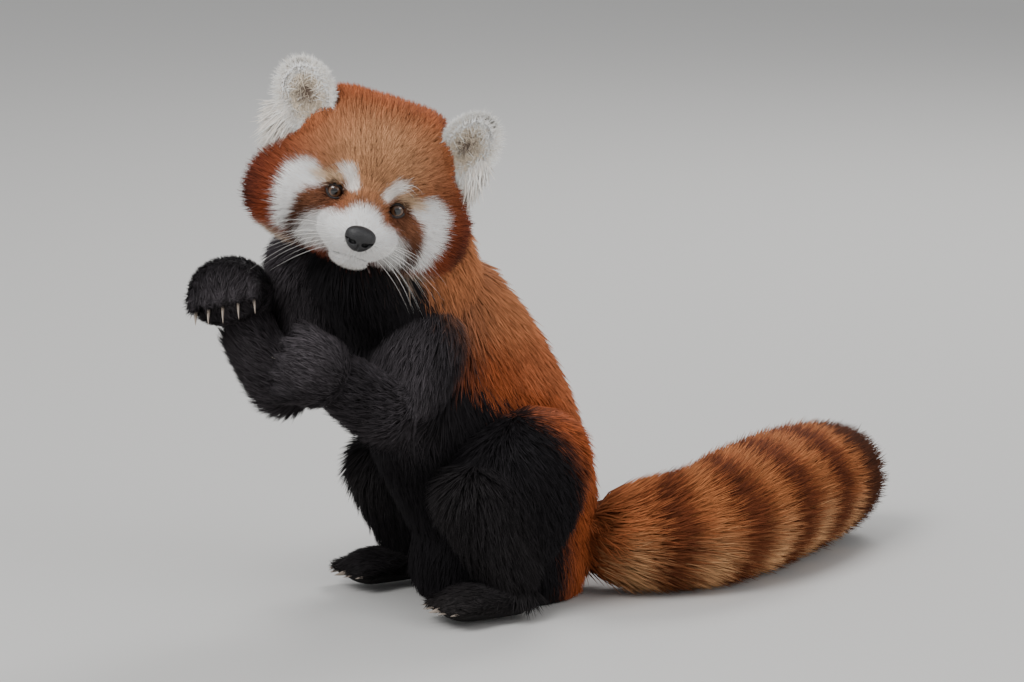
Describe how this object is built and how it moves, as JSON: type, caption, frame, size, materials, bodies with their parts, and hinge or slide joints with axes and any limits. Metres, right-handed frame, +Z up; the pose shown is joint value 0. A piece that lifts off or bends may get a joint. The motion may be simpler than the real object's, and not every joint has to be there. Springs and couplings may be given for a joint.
{
  "type": "red panda model",
  "caption": "Life-size model of a red panda sitting upright with both forepaws raised to its chest and its ringed tail laid out behind it.",
  "frame": {"origin": "middle of the flat under the rump, on the floor", "axes": "+Z up, -Y the way the face looks, +X to the animal's left as the head is held; the trunk is turned 60 degrees towards -X and the tail lies towards +X and +Y"},
  "size_m": [0.4959, 0.4167, 0.3805],
  "materials": {
    "rust_fur": "rust-red coat of dense, slightly glossy hair",
    "face_fur": "short orange-brown fur with white markings",
    "black_fur": "black fur with a faint sheen",
    "tail_fur": "long rust-red fur with paler rings",
    "claw": "pale horn, semi-gloss",
    "whisker": "white bristle",
    "eye": "wet gloss over a dark brown iris",
    "nose": "damp, pebbled charcoal skin"
  },
  "bodies": {
    "root": {"torso": "rust_fur", "neck": "rust_fur", "head": "face_fur", "ear_left": "face_fur", "ear_right": "face_fur", "upper_arm_left": "black_fur", "forearm_left": "black_fur", "forepaw_left": "black_fur", "upper_arm_right": "black_fur", "forearm_right": "black_fur", "forepaw_right": "black_fur", "thigh_left": "black_fur", "shin_left": "black_fur", "hindfoot_left": "black_fur", "thigh_right": "black_fur", "shin_right": "black_fur", "hindfoot_right": "black_fur", "tail_root": "tail_fur", "tail_middle": "tail_fur", "tail_far": "tail_fur", "tail_tip": "tail_fur", "eye_left": "eye", "eye_right": "eye", "nose": "nose"}
  },
  "joints": []
}
